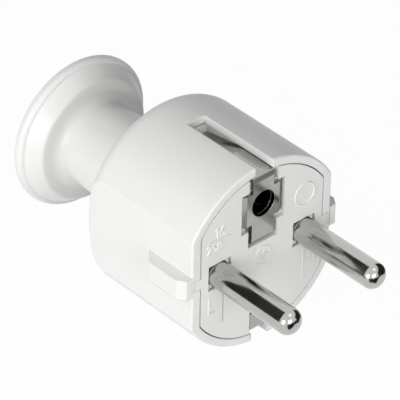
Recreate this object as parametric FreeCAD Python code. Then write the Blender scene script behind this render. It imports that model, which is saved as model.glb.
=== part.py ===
"""Builds the two-pole mains plug with side earth strips and a pull knob, one STEP file for each piece.

Frame, in millimetres: the origin is the middle of the engagement face, halfway between the two pins.
+X runs to the right hand pin, +Z runs up to the earth hole, and +Y runs back to the knob.
The pins point along -Y.
"""
import FreeCAD, Part
import math
import os

Vec = FreeCAD.Vector
ALONG_Y = Vec(0, 1, 0)
ALONG_Z = Vec(0, 0, 1)

# How far a cut runs past the face that it opens
BEYOND = 1.0

# Clearances
PART_GAP = 0.05
THREAD_GAP = 0.05
TERMINAL_GAP = 0.15
RECESS_GAP = 0.15
CARRIER_GAP = 0.2
PLATE_GAP = 0.3

# Engagement: the sizes that a wall socket needs
PIN_RADIUS = 2.4
PIN_LENGTH = 18.5
PIN_TIP_ROUND = 1.9
PIN_NECK_CUT = 0.3
PIN_HALF_SPACING = 9.5
EARTH_HOLE_RADIUS = 2.5

# Cross section of the cover shell and of the carrier in it
COVER_RADIUS = 18.0
COVER_FLAT = 15.6
COVER_WALL = 1.55
COVER_FLAT_WALL = 1.8
COVER_CORNER = 0.6
COVER_FRONT_ROUND = 0.35
CARRIER_RADIUS = COVER_RADIUS - COVER_WALL - CARRIER_GAP
CARRIER_FLAT = COVER_FLAT - COVER_FLAT_WALL - CARRIER_GAP

# Guide ribs on the flats of the cover
RIB_HALF_HEIGHT = 1.95
RIB_RISE = 2.25
RIB_NOSE_RISE = 1.2
RIB_NOSE_LENGTH = 1.5
RIB_LENGTH = 10.6

# Carrier face, its keys and its catches
FACE_THICKNESS = 2.4
WEB_THICKNESS = 1.1
KEY_HALF_HEIGHT = 1.0
KEY_DEPTH = 2.0
KEY_SKIN = 0.5
KEY_RISE = COVER_FLAT_WALL + CARRIER_GAP - PART_GAP - KEY_SKIN
CATCH_HALF_HEIGHT = 3.0
CATCH_FRONT = 7.5
CATCH_LENGTH = 2.0
CATCH_RISE = 0.6

# Thin line sunk into the face beside the left hand pin
FACE_LINE_X = -8.6
FACE_LINE_HALF_WIDTH = 0.12
FACE_LINE_DEPTH = 0.3
FACE_LINE_HIGH = -4.3
FACE_LINE_LENGTH = 6.0

# Pin roots and terminal blocks, from the face backwards
ROOT_STEP = 0.02
ROOT_GAP = 0.08
ROOT_FRONT = 0.3
ROOT_LENGTH = 5.75
ROOT_HALF = PIN_RADIUS + ROOT_STEP
TAIL_RADIUS = 1.65
TAIL_LENGTH = 2.0
WIRE_RADIUS = 1.6
TERMINAL_WALL = 0.5
TERMINAL_HALF_HEIGHT = 4.1
TERMINAL_FRONT = ROOT_FRONT + ROOT_LENGTH + PART_GAP
WIRE_DEPTH = TERMINAL_FRONT + TAIL_LENGTH + TERMINAL_WALL + WIRE_RADIUS
TERMINAL_REAR = WIRE_DEPTH + WIRE_RADIUS + TERMINAL_WALL
CHAMBER_SIDE_WALL = 0.75
CHAMBER_HALF_WIDTH = CARRIER_FLAT - CHAMBER_SIDE_WALL - PIN_HALF_SPACING
CHAMBER_HALF_HEIGHT = TERMINAL_HALF_HEIGHT + TERMINAL_GAP
TERMINAL_HALF_WIDTH = CHAMBER_HALF_WIDTH - TERMINAL_GAP
CARRIER_LENGTH = TERMINAL_REAR + TERMINAL_GAP
TERMINAL_SCREW_RADIUS = 1.45
TERMINAL_HEAD_RADIUS = 2.2
TERMINAL_HEAD_HEIGHT = 1.6
ACCESS_GAP = 0.25
SLOT_HALF = 0.35
SLOT_DEPTH = 0.7

# Earth bracket: one pressed strip that runs from the upper groove over the face to the lower groove
SHEET = 0.8
BRACKET_FACE = 0.05
RECESS_DEPTH = BRACKET_FACE + SHEET + PART_GAP
STRIP_SURFACE = CARRIER_RADIUS - PART_GAP
HOLE_BELOW_STRIP = 6.2
EARTH_HOLE_HEIGHT = STRIP_SURFACE - HOLE_BELOW_STRIP
STRIP_HALF_WIDTH = 2.3
STRIP_LEVEL_REAR = 7.5
STRIP_SLOPE = 9.5
STRIP_REAR_GAP = 0.45
TONGUE_HALF_WIDTH = 2.45
BRACKET_BEND = 0.9
JOGGLE_BEND = 0.6
JOGGLE_ANGLE = 70.0
MIDDLE_FACE = WEB_THICKNESS + RECESS_GAP
UPPER_JOGGLE_DROP = 6.6
UPPER_JOGGLE = EARTH_HOLE_HEIGHT - UPPER_JOGGLE_DROP
RECESS_FOOT = 1.2
RECESS_LOW = UPPER_JOGGLE - RECESS_FOOT
LOWER_PLATE_HEIGHT = 4.9
NOTCH_TOP = LOWER_PLATE_HEIGHT - STRIP_SURFACE
NOTCH_HALF_WIDTH = STRIP_HALF_WIDTH + RECESS_GAP
LOWER_JOGGLE = NOTCH_TOP + 2 * PART_GAP
WING_HALF_WIDTH = 4.7
WING_BELOW_HOLE = 3.4
WING_ABOVE_HOLE = 2.75
WING_LOW = EARTH_HOLE_HEIGHT - WING_BELOW_HOLE
WING_HIGH = EARTH_HOLE_HEIGHT + WING_ABOVE_HOLE
WING_FOLD_WIDTH = 1.1
WING_FOLD_DEPTH = 0.6
WING_TOP_GAP = 0.6
WING_FOOT_GAP = 1.1
WING_FOOT_SLOT = 0.6
RECESS_NECK_GAP = 0.8
SLOT_STRIP_GAP = 0.25
UPPER_SLOT_DEPTH = 4.0

# Grooves of the cover that show the strips, and the carrier's ribs under the strips
GROOVE_HALF_WIDTH = 1.95
GROOVE_LENGTH = 17.0
STRIP_REAR = GROOVE_LENGTH - STRIP_REAR_GAP
STRIP_RIB_WALL = 0.75
STRIP_RIB_HALF_WIDTH = NOTCH_HALF_WIDTH + STRIP_RIB_WALL
STRIP_END_WALL = 0.8
STRIP_SEAT_REAR = STRIP_REAR + CARRIER_GAP
STRIP_RIB_REAR = STRIP_SEAT_REAR + STRIP_END_WALL
STRIP_RIB_DROP = 3.4
STRIP_RIB_INNER = STRIP_SURFACE - STRIP_RIB_DROP

# Earth sleeve in its boss on the carrier
SLEEVE_WALL = 0.55
SLEEVE_RADIUS = EARTH_HOLE_RADIUS + SLEEVE_WALL
SLEEVE_LENGTH = 14.6
SLEEVE_FRONT = RECESS_DEPTH
SLEEVE_REAR = SLEEVE_FRONT + SLEEVE_LENGTH
SLEEVE_SLIT = 0.5
SLEEVE_UNSLIT_LENGTH = 4.9
BOSS_WALL = 1.2
BOSS_RADIUS = SLEEVE_RADIUS + PART_GAP + BOSS_WALL
BOSS_REAR = SLEEVE_REAR + PLATE_GAP

# Hollows of the carrier
PARTITION = 1.25
CORD_CHAMBER_HALF_WIDTH = PIN_HALF_SPACING - CHAMBER_HALF_WIDTH - PARTITION
CORD_CHAMBER_HIGH = EARTH_HOLE_HEIGHT - BOSS_RADIUS - PLATE_GAP
CORD_CHAMBER_FLOOR = 0.9
CORD_CHAMBER_LOW = NOTCH_TOP - CORD_CHAMBER_FLOOR
POCKET_WALL = 1.5
POCKET_SKIN = 1.1
POCKET_WIDTH = 4.4

# Earth terminal in the middle of the bracket
POST_RADIUS = TONGUE_HALF_WIDTH + RECESS_GAP - PART_GAP
POST_HEIGHT = (UPPER_JOGGLE + LOWER_JOGGLE) / 2
POST_LENGTH = 4.85
POST_FRONT = MIDDLE_FACE + SHEET
POST_REAR = POST_FRONT + POST_LENGTH
WASHER_HALF = 3.5
WASHER_THICKNESS = 1.0
EARTH_SCREW_RADIUS = 1.55
EARTH_SCREW_LENGTH = 4.8
EARTH_HEAD_RADIUS = 2.9
EARTH_HEAD_HEIGHT = 1.9
HOLE_PAST_TIP = 0.5

# Back plate
PLATE_THICKNESS = 1.5
PLATE_FRONT = CARRIER_LENGTH + PART_GAP
PLATE_REAR = PLATE_FRONT + PLATE_THICKNESS
PLATE_RADIUS = CARRIER_RADIUS - PLATE_GAP
PLATE_FLAT = CARRIER_FLAT - PLATE_GAP
PLATE_SCREW_RADIUS = 1.05
PLATE_SCREW_WALL = 1.0
PLATE_SCREW_EDGE = 2.5
PLATE_SCREW_GRIP = 5.7
PLATE_SCREW_X = CORD_CHAMBER_HALF_WIDTH + PLATE_SCREW_WALL + THREAD_GAP + PLATE_SCREW_RADIUS
PLATE_SCREW_Z = -math.sqrt((CARRIER_RADIUS - PLATE_SCREW_EDGE) ** 2 - PLATE_SCREW_X ** 2)
PLATE_HEAD_RADIUS = 2.0
PLATE_HEAD_HEIGHT = 1.3

# Cord clamp: a saddle on the back plate and a bar over it
CORD_RADIUS = 4.2
CLAMP_SCREW_RADIUS = 1.4
CLAMP_SCREW_WALL = 1.2
CLAMP_SCREW_GRIP = 7.1
CLAMP_SCREW_X = CORD_RADIUS + CLAMP_SCREW_WALL + CLAMP_SCREW_RADIUS
CLAMP_HEAD_RADIUS = 2.1
CLAMP_HEAD_HEIGHT = 1.6
SADDLE_EDGE = 0.1
SADDLE_FLOOR = 3.8
SADDLE_HALF_WIDTH = CLAMP_SCREW_X + CLAMP_HEAD_RADIUS + SADDLE_EDGE
SADDLE_LOW = -CORD_RADIUS - SADDLE_FLOOR
BAR_BITE = 0.6
SADDLE_HIGH = CORD_RADIUS - BAR_BITE
BAR_THICKNESS = 2.4
BAR_LENGTH = 3.8
BAR_FRONT = BOSS_REAR + 2 * PLATE_GAP
BAR_MIDDLE = BAR_FRONT + BAR_LENGTH / 2
BAR_HIGH = SADDLE_HIGH + BAR_THICKNESS
SADDLE_REAR = BAR_FRONT + BAR_LENGTH

# Depths behind the cord clamp, up to the rear of the cover
SPIGOT_CLEARANCE = 1.0
SPIGOT_NOSE = 1.8
RING_THICKNESS = 1.0
COVER_REAR_WALL = 2.2
COVER_REAR_ROUND = 3.2
SPIGOT_FRONT = SADDLE_REAR + SPIGOT_CLEARANCE
RING_FRONT = SPIGOT_FRONT + SPIGOT_NOSE
HOLLOW_REAR = RING_FRONT + RING_THICKNESS
COVER_LENGTH = HOLLOW_REAR + COVER_REAR_WALL

# Pull knob and its lock ring, each radius a wall or a step from the last
KNOB_BORE_GAP = 0.7
KNOB_BORE = CORD_RADIUS + KNOB_BORE_GAP
SPIGOT_WALL = 1.9
SPIGOT_RADIUS = KNOB_BORE + SPIGOT_WALL
RING_GROOVE = 0.8
RING_SEAT_RADIUS = SPIGOT_RADIUS - RING_GROOVE
RING_INNER = RING_SEAT_RADIUS + PART_GAP
RING_WIDTH = 2.85
RING_RADIUS = RING_INNER + RING_WIDTH
RING_OPENING_HALF = 3.0
NECK_STEP = 1.1
NECK_RADIUS = SPIGOT_RADIUS + NECK_STEP
NECK_LENGTH = 17.1
COLLAR_FILLET = 2.1
COLLAR_LEDGE = 1.8
COLLAR_FACE = COVER_LENGTH + NECK_LENGTH
COLLAR_INNER = NECK_RADIUS + COLLAR_FILLET
COLLAR_RADIUS = COLLAR_INNER + COLLAR_LEDGE
SKIRT_RISE = 1.3
SKIRT_LENGTH = 2.8
SKIRT_RADIUS = COLLAR_RADIUS + SKIRT_RISE
SKIRT_REAR = COLLAR_FACE + SKIRT_LENGTH
DISC_LEDGE = 0.1
DISC_FRONT_ROUND = 1.1
DISC_REAR_ROUND = 1.5
DISC_THICKNESS = 2.75
DISC_RADIUS = SKIRT_RADIUS + DISC_LEDGE + DISC_FRONT_ROUND
DISC_REAR = SKIRT_REAR + DISC_THICKNESS

# Grommet in the knob, which grips the cord
GROMMET_GRIP = 0.2
GROMMET_WALL = 2.4
GROMMET_DEPTH = 5.3
GROMMET_BORE = CORD_RADIUS - GROMMET_GRIP
GROMMET_RADIUS = GROMMET_BORE + GROMMET_WALL
GROMMET_FRONT = DISC_REAR - GROMMET_DEPTH
GROMMET_LIP = 1.1
GROMMET_LIP_WIDTH = 1.5
GROMMET_LIP_RADIUS = GROMMET_RADIUS + GROMMET_LIP_WIDTH


def box(x_range, y_range, z_range):
    """A box between two limits on each axis."""
    corner = Vec(x_range[0], y_range[0], z_range[0])
    size = Vec(x_range[1] - x_range[0], y_range[1] - y_range[0], z_range[1] - z_range[0])
    return Part.makeBox(size.x, size.y, size.z, corner)


def rod(radius, y_range, x=0.0, z=0.0):
    """A cylinder that runs along Y."""
    return Part.makeCylinder(radius, y_range[1] - y_range[0], Vec(x, y_range[0], z), ALONG_Y)


def post(radius, z_range, x, y):
    """A cylinder that runs along Z."""
    return Part.makeCylinder(radius, z_range[1] - z_range[0], Vec(x, y, z_range[0]), ALONG_Z)


def around(middle, half):
    """The limits that lie half a size on each side of a middle."""
    return (middle - half, middle + half)


def sided(side, limits):
    """Limits on one axis, turned over for the negative side and put in rising order."""
    return tuple(sorted((side * limits[0], side * limits[1])))


def edges_where(solid, test):
    """The edges of a solid whose limits pass a test."""
    return [edge for edge in solid.Edges if test(edge.BoundBox)]


def is_at(value, target):
    """Whether a limit lies at a target, to within the kernel's tolerance."""
    return abs(value - target) < 1e-4


def turned(outline):
    """A solid turned about Y.

    The outline is a list of (radius, y) corners. A third and fourth value make the way to that
    corner an arc that passes through (radius, y) = (third, fourth).
    """
    edges = []
    last = outline[-1]
    for corner in outline:
        start = Vec(last[0], last[1], 0)
        end = Vec(corner[0], corner[1], 0)
        if len(corner) == 4:
            edges.append(Part.Arc(start, Vec(corner[2], corner[3], 0), end).toShape())
        else:
            edges.append(Part.makeLine(start, end))
        last = corner
    face = Part.Face(Part.Wire(edges))
    return face.revolve(Vec(0, 0, 0), ALONG_Y, 360)


def on_round(centre, radius, degrees):
    """The (radius, y) of a point on a round of a turned outline. 0 degrees points outwards, 90 along +Y."""
    angle = math.radians(degrees)
    return (centre[0] + radius * math.cos(angle), centre[1] + radius * math.sin(angle))


def flatted(radius, flat, y_range, corner=0.0):
    """A round bar along Y with a flat on its left and right side, and rounded corners if asked for."""
    solid = rod(radius, y_range)
    solid = solid.common(box((-flat, flat), y_range, (-radius, radius)))
    if corner > 0:
        length = y_range[1] - y_range[0]
        long_edges = edges_where(solid, lambda b: b.YLength > length / 2 and b.XLength < corner)
        solid = solid.makeFillet(corner, long_edges)
    return solid


def rib(side):
    """The guide rib on one flat of the cover, with its sloped nose and tail."""
    inner = COVER_FLAT - PART_GAP
    nose = COVER_FLAT + RIB_NOSE_RISE
    top = COVER_FLAT + RIB_RISE
    outline = [
        (inner, 0),
        (nose, 0),
        (top, RIB_NOSE_LENGTH),
        (top, RIB_LENGTH - RIB_RISE),
        (COVER_FLAT, RIB_LENGTH),
        (inner, RIB_LENGTH),
    ]
    corners = [Vec(side * x, y, -RIB_HALF_HEIGHT) for x, y in outline]
    face = Part.Face(Part.makePolygon(corners + corners[:1]))
    return face.extrude(Vec(0, 0, 2 * RIB_HALF_HEIGHT))


def make_cover():
    """The cup that closes over the carrier, with grooves for the earth strips."""
    body = flatted(COVER_RADIUS, COVER_FLAT, (0, COVER_LENGTH), COVER_CORNER)
    body = body.makeFillet(COVER_FRONT_ROUND, edges_where(body, lambda b: is_at(b.YMax, 0)))
    round_centre = (COVER_RADIUS - COVER_REAR_ROUND, COVER_LENGTH - COVER_REAR_ROUND)
    envelope = turned([
        (0, -BEYOND),
        (COVER_RADIUS + BEYOND, -BEYOND),
        (COVER_RADIUS + BEYOND, COVER_FRONT_ROUND),
        (COVER_RADIUS, COVER_FRONT_ROUND),
        (COVER_RADIUS, round_centre[1]),
        (round_centre[0], COVER_LENGTH) + on_round(round_centre, COVER_REAR_ROUND, 45),
        (0, COVER_LENGTH),
    ])
    body = body.common(envelope).fuse([rib(-1), rib(1)])
    bore_radius = COVER_RADIUS - COVER_WALL
    body = body.cut(flatted(bore_radius, COVER_FLAT - COVER_FLAT_WALL, (-BEYOND, HOLLOW_REAR)))
    cuts = [rod(SPIGOT_RADIUS + PART_GAP, (HOLLOW_REAR - BEYOND, COVER_LENGTH + BEYOND))]
    for side in (-1, 1):
        cuts.append(box((-GROOVE_HALF_WIDTH, GROOVE_HALF_WIDTH), (-BEYOND, GROOVE_LENGTH),
                        sided(side, (bore_radius - BEYOND, COVER_RADIUS + BEYOND))))
        cuts.append(box(sided(side, (CARRIER_FLAT, CARRIER_FLAT + KEY_RISE + PART_GAP)),
                        (-BEYOND, KEY_DEPTH + PART_GAP), around(0, KEY_HALF_HEIGHT + PART_GAP)))
        cuts.append(box(sided(side, (CARRIER_FLAT, CARRIER_FLAT + CATCH_RISE + PART_GAP)),
                        (CATCH_FRONT - PART_GAP, CATCH_FRONT + CATCH_LENGTH + PART_GAP),
                        around(0, CATCH_HALF_HEIGHT + PART_GAP)))
    return body.cut(cuts).removeSplitter()


def strip_slope_drop():
    """How far the tail of each earth strip sinks towards the middle of the plug."""
    return (STRIP_REAR - STRIP_LEVEL_REAR) * math.tan(math.radians(STRIP_SLOPE))


def carrier_hollows():
    """The chambers, pockets and passages moulded into the rear of the carrier."""
    rearwards = (FACE_THICKNESS, CARRIER_LENGTH + BEYOND)
    slot_front = WIRE_DEPTH - WIRE_RADIUS - TERMINAL_GAP
    hollows = [box((-CORD_CHAMBER_HALF_WIDTH, CORD_CHAMBER_HALF_WIDTH), rearwards,
                   (CORD_CHAMBER_LOW, CORD_CHAMBER_HIGH))]
    skin = rod(CARRIER_RADIUS - POCKET_SKIN, rearwards)
    pocket_inner = CORD_CHAMBER_HALF_WIDTH + POCKET_WALL
    pocket_near = CHAMBER_HALF_HEIGHT + POCKET_WALL
    pocket_far = -PLATE_SCREW_Z - PLATE_SCREW_RADIUS - PLATE_SCREW_WALL
    for side in (-1, 1):
        pin_x = side * PIN_HALF_SPACING
        hollows.append(box(around(pin_x, ROOT_HALF + ROOT_GAP), (-BEYOND, CARRIER_LENGTH + BEYOND),
                           around(0, ROOT_HALF + ROOT_GAP)))
        hollows.append(box(around(pin_x, CHAMBER_HALF_WIDTH),
                           (TERMINAL_FRONT - TERMINAL_GAP, CARRIER_LENGTH + BEYOND),
                           around(0, CHAMBER_HALF_HEIGHT)))
        hollows.append(post(TERMINAL_HEAD_RADIUS + ACCESS_GAP, (0, CARRIER_RADIUS), pin_x, WIRE_DEPTH))
        hollows.append(box(sided(side, around(CORD_CHAMBER_HALF_WIDTH, PARTITION + BEYOND)),
                           (slot_front, CARRIER_LENGTH + BEYOND), around(0, WIRE_RADIUS + TERMINAL_GAP)))
        for height in (-1, 1):
            pocket = box(sided(side, (pocket_inner, pocket_inner + POCKET_WIDTH)), rearwards,
                         sided(height, (pocket_near, pocket_far)))
            hollows.append(pocket.common(skin))
        hollows.append(rod(PLATE_SCREW_RADIUS + THREAD_GAP,
                           (CARRIER_LENGTH - PLATE_SCREW_GRIP - HOLE_PAST_TIP, CARRIER_LENGTH + BEYOND),
                           side * PLATE_SCREW_X, PLATE_SCREW_Z))
    return hollows


def bracket_seats():
    """The recesses of the carrier that take the earth bracket."""
    wing = WING_HALF_WIDTH + RECESS_GAP
    neck = TONGUE_HALF_WIDTH + RECESS_NECK_GAP
    channel = TONGUE_HALF_WIDTH + RECESS_GAP
    notch = (-NOTCH_HALF_WIDTH, NOTCH_HALF_WIDTH)
    edge = CARRIER_RADIUS + BEYOND
    recess = (-BEYOND, RECESS_DEPTH)
    seat = STRIP_SURFACE - SHEET - PART_GAP
    bend = BRACKET_BEND + SHEET / 2 + PART_GAP
    channel_low = LOWER_JOGGLE - joggle_run(MIDDLE_FACE - BRACKET_FACE) - PART_GAP
    seats = [
        box((-wing, wing), recess, (WING_LOW - WING_FOOT_GAP, WING_HIGH + WING_TOP_GAP)),
        box((-neck, neck), recess, (RECESS_LOW, edge)),
        box(notch, recess, (-edge, NOTCH_TOP)),
        box((-channel, channel), (WEB_THICKNESS, FACE_THICKNESS + PART_GAP),
            (channel_low, UPPER_JOGGLE + RECESS_GAP)),
        box((-channel, channel), (0, WEB_THICKNESS + PART_GAP), (RECESS_LOW, UPPER_JOGGLE + RECESS_GAP)),
        box(notch, (0, WEB_THICKNESS + PART_GAP), (channel_low, NOTCH_TOP)),
    ]
    for side in (-1, 1):
        seats.append(box(sided(side, (TONGUE_HALF_WIDTH - RECESS_GAP, neck)),
                         (-BEYOND, FACE_THICKNESS + BEYOND), (RECESS_LOW, WING_LOW)))
        seats.append(box(sided(side, (TONGUE_HALF_WIDTH - RECESS_GAP, wing)),
                         (-BEYOND, FACE_THICKNESS + BEYOND), (WING_LOW - WING_FOOT_SLOT, WING_LOW)))
        seats.append(box(sided(side, (STRIP_HALF_WIDTH + SLOT_STRIP_GAP, neck)), (-BEYOND, UPPER_SLOT_DEPTH),
                         (WING_HIGH, seat - RECESS_GAP)))
        seats.append(box(notch, (-BEYOND, STRIP_SEAT_REAR), sided(side, (seat, edge))))
        seats.append(box(notch, (STRIP_LEVEL_REAR, STRIP_SEAT_REAR),
                         sided(side, (seat - strip_slope_drop(), edge))))
        seats.append(box(notch, (-BEYOND, BRACKET_FACE + bend), sided(side, (STRIP_SURFACE - bend, edge))))
    return seats


def make_carrier():
    """The moulded insert that holds the pins, the earth bracket and the sleeve."""
    body = flatted(CARRIER_RADIUS, CARRIER_FLAT, (0, CARRIER_LENGTH), COVER_CORNER).cut(carrier_hollows())
    root = CARRIER_LENGTH - BEYOND
    inside = rod(CARRIER_RADIUS, (root, STRIP_RIB_REAR))
    adds = [rod(BOSS_RADIUS, (WEB_THICKNESS, BOSS_REAR), 0, EARTH_HOLE_HEIGHT)]
    for side in (-1, 1):
        strip_rib = box((-STRIP_RIB_HALF_WIDTH, STRIP_RIB_HALF_WIDTH), (root, STRIP_RIB_REAR),
                        sided(side, (STRIP_RIB_INNER, CARRIER_RADIUS)))
        adds.append(strip_rib.common(inside))
        adds.append(box(sided(side, (CARRIER_FLAT - PART_GAP, CARRIER_FLAT + KEY_RISE)), (0, KEY_DEPTH),
                        around(0, KEY_HALF_HEIGHT)))
        adds.append(box(sided(side, (CARRIER_FLAT - PART_GAP, CARRIER_FLAT + CATCH_RISE)),
                        (CATCH_FRONT, CATCH_FRONT + CATCH_LENGTH), around(0, CATCH_HALF_HEIGHT)))
    body = body.fuse(adds)
    cuts = bracket_seats()
    cuts.append(rod(SLEEVE_RADIUS + PART_GAP, (-BEYOND, BOSS_REAR + BEYOND), 0, EARTH_HOLE_HEIGHT))
    cuts.append(box(around(FACE_LINE_X, FACE_LINE_HALF_WIDTH), (-BEYOND, FACE_LINE_DEPTH),
                    (FACE_LINE_HIGH - FACE_LINE_LENGTH, FACE_LINE_HIGH)))
    return body.cut(cuts).removeSplitter()


class StripPath:
    """Lays a bent strip along a path in the YZ plane, piece by piece.

    The path is the middle of the sheet. A heading of 0 degrees runs along +Y and 90 along +Z.
    """

    def __init__(self, y, z, heading):
        self.y = y
        self.z = z
        self.heading = heading
        self.pieces = []

    def direction(self, extra=0.0):
        """The unit vector of the heading, turned by some degrees more."""
        angle = math.radians(self.heading + extra)
        return Vec(0, math.cos(angle), math.sin(angle))

    def place(self):
        """The point that the path has reached."""
        return Vec(0, self.y, self.z)

    def move_to(self, point):
        """Sets the point that the path has reached."""
        self.y = point.y
        self.z = point.z

    def press(self, edges, half_width):
        """Turns a closed outline into a piece of the given width."""
        face = Part.Face(Part.Wire(edges))
        face.translate(Vec(-half_width, 0, 0))
        self.pieces.append(face.extrude(Vec(2 * half_width, 0, 0)))

    def go(self, length, half_width):
        """Lays a straight piece."""
        side = self.direction(90) * (SHEET / 2)
        start = self.place()
        end = start + self.direction() * length
        corners = [start + side, end + side, end - side, start - side, start + side]
        edges = [Part.makeLine(a, b) for a, b in zip(corners, corners[1:])]
        self.press(edges, half_width)
        self.move_to(end)

    def go_to(self, axis, value, half_width):
        """Lays a straight piece up to a value of y or z."""
        length = (value - getattr(self, axis)) / getattr(self.direction(), axis)
        self.go(length, half_width)

    def turn(self, degrees, radius, half_width):
        """Lays a bend. Positive degrees turn from +Y towards +Z, and the radius is the sheet's middle."""
        sign = 1 if degrees > 0 else -1
        centre = self.place() + self.direction(90 * sign) * radius
        spokes = []
        for share in (0.0, 0.5, 1.0):
            spokes.append(self.direction(-90 * sign + degrees * share))
        inner = [centre + spoke * (radius - SHEET / 2) for spoke in spokes]
        outer = [centre + spoke * (radius + SHEET / 2) for spoke in spokes]
        edges = [
            Part.Arc(inner[0], inner[1], inner[2]).toShape(),
            Part.makeLine(inner[2], outer[2]),
            Part.Arc(outer[2], outer[1], outer[0]).toShape(),
            Part.makeLine(outer[0], inner[0]),
        ]
        self.press(edges, half_width)
        self.move_to(centre + spokes[2] * radius)
        self.heading += degrees

    def joggle(self, sign, depth, half_width):
        """Steps the path sideways by a depth, with two bends and a slope between them."""
        self.turn(sign * JOGGLE_ANGLE, JOGGLE_BEND, half_width)
        self.go(joggle_slope(depth), half_width)
        self.turn(-sign * JOGGLE_ANGLE, JOGGLE_BEND, half_width)


def joggle_slope(depth):
    """The length of the slope between the two bends of a joggle."""
    angle = math.radians(JOGGLE_ANGLE)
    bend_depth = 2 * JOGGLE_BEND * (1 - math.cos(angle))
    return (depth - bend_depth) / math.sin(angle)


def joggle_run(depth):
    """How far a joggle runs along the sheet."""
    angle = math.radians(JOGGLE_ANGLE)
    return 2 * JOGGLE_BEND * math.sin(angle) + joggle_slope(depth) * math.cos(angle)


def make_bracket():
    """The earth bracket: upper strip, face plate with its wings, middle and lower strip."""
    level = STRIP_SURFACE - SHEET / 2
    depth = MIDDLE_FACE - BRACKET_FACE
    tail = (STRIP_REAR - STRIP_LEVEL_REAR) / math.cos(math.radians(STRIP_SLOPE))
    path = StripPath(STRIP_REAR, level - strip_slope_drop(), 180 - STRIP_SLOPE)
    path.go(tail, STRIP_HALF_WIDTH)
    path.heading = 180
    path.go_to("y", BRACKET_FACE + SHEET / 2 + BRACKET_BEND, STRIP_HALF_WIDTH)
    path.turn(90, BRACKET_BEND, STRIP_HALF_WIDTH)
    path.go_to("z", WING_LOW, STRIP_HALF_WIDTH)
    path.go_to("z", UPPER_JOGGLE, TONGUE_HALF_WIDTH)
    path.joggle(1, depth, TONGUE_HALF_WIDTH)
    path.go_to("z", LOWER_JOGGLE, TONGUE_HALF_WIDTH)
    path.joggle(-1, depth, STRIP_HALF_WIDTH)
    path.go_to("z", -level + BRACKET_BEND, STRIP_HALF_WIDTH)
    path.turn(90, BRACKET_BEND, STRIP_HALF_WIDTH)
    path.go_to("y", STRIP_LEVEL_REAR, STRIP_HALF_WIDTH)
    path.heading = STRIP_SLOPE
    path.go(tail, STRIP_HALF_WIDTH)
    wings = box(around(0, WING_HALF_WIDTH), (BRACKET_FACE, BRACKET_FACE + SHEET), (WING_LOW, WING_HIGH))
    for side in (-1, 1):
        edge = side * WING_HALF_WIDTH
        fold = [
            Vec(edge - side * WING_FOLD_WIDTH, BRACKET_FACE, WING_LOW),
            Vec(edge, BRACKET_FACE, WING_LOW),
            Vec(edge, BRACKET_FACE + WING_FOLD_DEPTH, WING_LOW),
        ]
        face = Part.Face(Part.makePolygon(fold + fold[:1]))
        wings = wings.cut(face.extrude(Vec(0, 0, WING_HIGH - WING_LOW)))
    bracket = path.pieces[0].fuse(path.pieces[1:] + [wings])
    hole = rod(EARTH_HOLE_RADIUS, (-BEYOND, RECESS_DEPTH + BEYOND), 0, EARTH_HOLE_HEIGHT)
    return bracket.cut(hole).removeSplitter()


def make_sleeve():
    """The slit brass sleeve behind the earth hole."""
    tube = rod(SLEEVE_RADIUS, (SLEEVE_FRONT, SLEEVE_REAR), 0, EARTH_HOLE_HEIGHT)
    bore = rod(EARTH_HOLE_RADIUS, (SLEEVE_FRONT - BEYOND, SLEEVE_REAR + BEYOND), 0, EARTH_HOLE_HEIGHT)
    slit = box(around(0, SLEEVE_SLIT / 2), (SLEEVE_FRONT + SLEEVE_UNSLIT_LENGTH, SLEEVE_REAR + BEYOND),
               around(EARTH_HOLE_HEIGHT, SLEEVE_RADIUS + BEYOND))
    return tube.cut([bore, slit])


def make_pin(side):
    """A contact pin: domed shank, a shallow neck at the face, a square root and a riveted tail."""
    x = side * PIN_HALF_SPACING
    shank = rod(PIN_RADIUS, (-PIN_LENGTH, -PART_GAP), x)
    shank = shank.makeFillet(PIN_TIP_ROUND, edges_where(shank, lambda b: is_at(b.YMax, -PIN_LENGTH)))
    neck = rod(PIN_RADIUS - PIN_NECK_CUT, (-PART_GAP, ROOT_FRONT), x)
    root_rear = ROOT_FRONT + ROOT_LENGTH
    root = box(around(x, ROOT_HALF), (ROOT_FRONT, root_rear), around(0, ROOT_HALF))
    tail = rod(TAIL_RADIUS, (root_rear, TERMINAL_FRONT + TAIL_LENGTH), x)
    return shank.fuse([neck, root, tail]).removeSplitter()


def make_terminal(side):
    """The terminal block on the tail of one pin. The conductor enters it from the cord chamber."""
    x = side * PIN_HALF_SPACING
    block = box(around(x, TERMINAL_HALF_WIDTH), (TERMINAL_FRONT, TERMINAL_REAR),
                around(0, TERMINAL_HALF_HEIGHT))
    tail_rear = TERMINAL_FRONT + TAIL_LENGTH + PART_GAP
    tail = rod(TAIL_RADIUS + PART_GAP, (TERMINAL_FRONT - BEYOND, tail_rear), x)
    mouth = Vec(x - side * (TERMINAL_HALF_WIDTH + BEYOND), WIRE_DEPTH, 0)
    wire_length = TERMINAL_HALF_WIDTH + BEYOND + WIRE_RADIUS
    wire = Part.makeCylinder(WIRE_RADIUS, wire_length, mouth, Vec(side, 0, 0))
    thread = post(TERMINAL_SCREW_RADIUS + THREAD_GAP, (0, TERMINAL_HALF_HEIGHT + BEYOND), x, WIRE_DEPTH)
    return block.cut([tail, wire, thread])


def slotted_screw_up(radius, head_radius, x, y, heights):
    """A screw along Z with a slotted head. The heights are its tip, the head's seat and the head's top."""
    tip, seat, top = heights
    shank = post(radius, (tip, seat), x, y)
    head = post(head_radius, (seat, top), x, y)
    slot = box(around(x, head_radius), around(y, SLOT_HALF), (top - SLOT_DEPTH, top + BEYOND))
    return shank.fuse(head).cut(slot).removeSplitter()


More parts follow.
